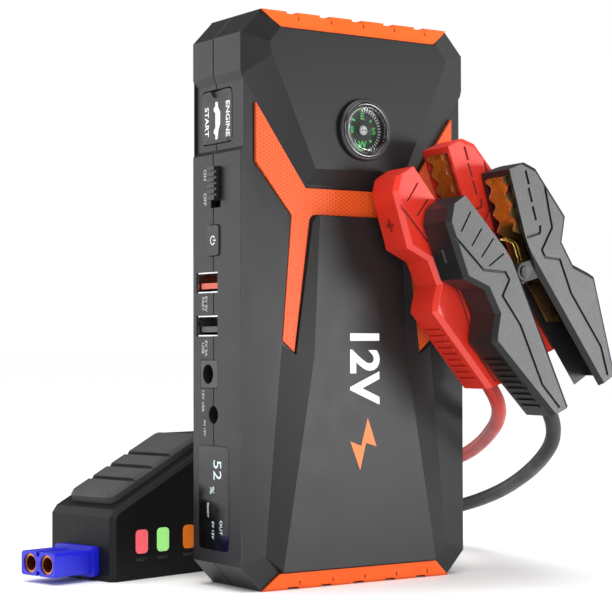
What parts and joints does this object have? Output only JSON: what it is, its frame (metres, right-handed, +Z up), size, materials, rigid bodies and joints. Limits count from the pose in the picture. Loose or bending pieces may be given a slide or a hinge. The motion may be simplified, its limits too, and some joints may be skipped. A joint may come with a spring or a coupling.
{
  "type": "jump starter pack",
  "caption": "Slim upright jump starter power pack with compass, side ports, orange bumpers, plug-in clamp module and red and black spring clamps on stiff leads.",
  "frame": {"origin": "centre of the upright power unit's base, on the surface it stands on", "axes": "+X to the right of the unit's front face, +Y towards its back, +Z up its long side"},
  "size_m": [0.1858, 0.1464, 0.187],
  "materials": {
    "bumper_orange": "matt moulded rubber",
    "inlay_orange": "moulded, fine hexagon lines",
    "cover_charcoal": "soft-touch, finely grained",
    "plated_steel": "nickel plated",
    "black_plastic": "moulded",
    "chrome_trim": "polished",
    "clear_lens": "clear, moulded",
    "compass_card": "printed card",
    "brass_pin": "turned",
    "rubber_black": "matt",
    "copper_contact": "stamped, plated",
    "tongue_plastic": "moulded",
    "display_black": "glossy window",
    "board_green": "solder mask",
    "cell_wrap": "film wrapped",
    "module_plastic": "finely grained",
    "lamp_red": "translucent lamp",
    "lamp_green": "translucent lamp",
    "lamp_amber": "translucent lamp",
    "plug_blue": "moulded",
    "lead_red": "smooth jacket",
    "lead_black": "smooth jacket",
    "clamp_red": "moulded, satin",
    "clamp_black": "moulded, spark-eroded grain",
    "copper_jaw": "copper plated, stamped",
    "spring_wire": "yellow passivated wire"
  },
  "bodies": {
    "unit": {"bottom_bumper": "bumper_orange", "top_bumper": "bumper_orange", "front_inlay": "inlay_orange", "front_cover": "cover_charcoal", "rear_cover": "cover_charcoal", "cover_screws": "plated_steel", "compass_housing": "black_plastic", "compass_bezel": "chrome_trim", "compass_lens": "clear_lens", "compass_pivot": "brass_pin", "start_flap_pin": "plated_steel", "start_socket": "black_plastic", "start_socket_contacts": "copper_contact", "slide_switch_body": "black_plastic", "power_switch": "black_plastic", "usb_fast_shell": "plated_steel", "usb_fast_tongue": "tongue_plastic", "usb_standard_shell": "plated_steel", "usb_standard_tongue": "tongue_plastic", "dc_out_jack": "black_plastic", "dc_in_jack": "black_plastic", "dc_pins": "plated_steel", "display_window": "display_black", "display_module": "black_plastic", "main_board": "board_green", "battery_cells": "cell_wrap", "torch_lens": "clear_lens", "torch_reflector": "chrome_trim", "module_front_shell": "module_plastic", "module_rear_shell": "module_plastic", "module_lamp_red": "lamp_red", "module_lamp_green": "lamp_green", "module_lamp_amber": "lamp_amber", "module_grip_pad": "rubber_black", "module_board": "board_green", "plug_body": "plug_blue", "plug_contacts": "copper_contact", "red_lead": "lead_red", "black_lead": "lead_black", "red_lead_sleeve": "black_plastic", "black_lead_sleeve": "black_plastic", "red_fixed_shell": "clamp_red", "black_fixed_shell": "clamp_black", "red_fixed_jaw": "copper_jaw", "black_fixed_jaw": "copper_jaw", "red_pivot_pin": "plated_steel", "black_pivot_pin": "plated_steel", "red_spring": "spring_wire", "black_spring": "spring_wire"},
    "start_flap": {"start_flap": "rubber_black"},
    "slide_knob": {"slide_knob": "black_plastic"},
    "power_button": {"power_button": "rubber_black"},
    "compass_card": {"compass_card": "compass_card"},
    "red_jaw": {"red_moving_shell": "clamp_red", "red_moving_jaw": "copper_jaw"},
    "black_jaw": {"black_moving_shell": "clamp_black", "black_moving_jaw": "copper_jaw"}
  },
  "joints": [
    {"name": "start_flap_hinge", "type": "hinge", "parent": "unit", "child": "start_flap", "pos_m": [-0.0435, 0.0016, 0.1455], "axis": [0, -1, 0], "range_deg": [0, 90]},
    {"name": "slide_knob_travel", "type": "slide", "parent": "unit", "child": "slide_knob", "axis": [0, 0, -1], "range_m": [0, 0.0022]},
    {"name": "power_button_press", "type": "slide", "parent": "unit", "child": "power_button", "axis": [1, 0, 0], "range_m": [0, 0.0007], "stiffness_N_per_m": 400},
    {"name": "compass_card_spin", "type": "hinge", "parent": "unit", "child": "compass_card", "pos_m": [0.001, -0.0155, 0.15], "axis": [0, 1, 0], "continuous": true},
    {"name": "red_clamp_hinge", "type": "hinge", "parent": "unit", "child": "red_jaw", "pos_m": [0.0303, -0.0317, 0.1115], "axis": [-0.1392, -0.9903, 0], "range_deg": [0, 19], "stiffness_Nm_per_rad": 0.25, "springref_deg": -20.05},
    {"name": "black_clamp_hinge", "type": "hinge", "parent": "unit", "child": "black_jaw", "pos_m": [0.0382, -0.0506, 0.1024], "axis": [-0.1392, -0.9903, 0], "range_deg": [0, 26], "stiffness_Nm_per_rad": 0.25, "springref_deg": -20.05}
  ]
}
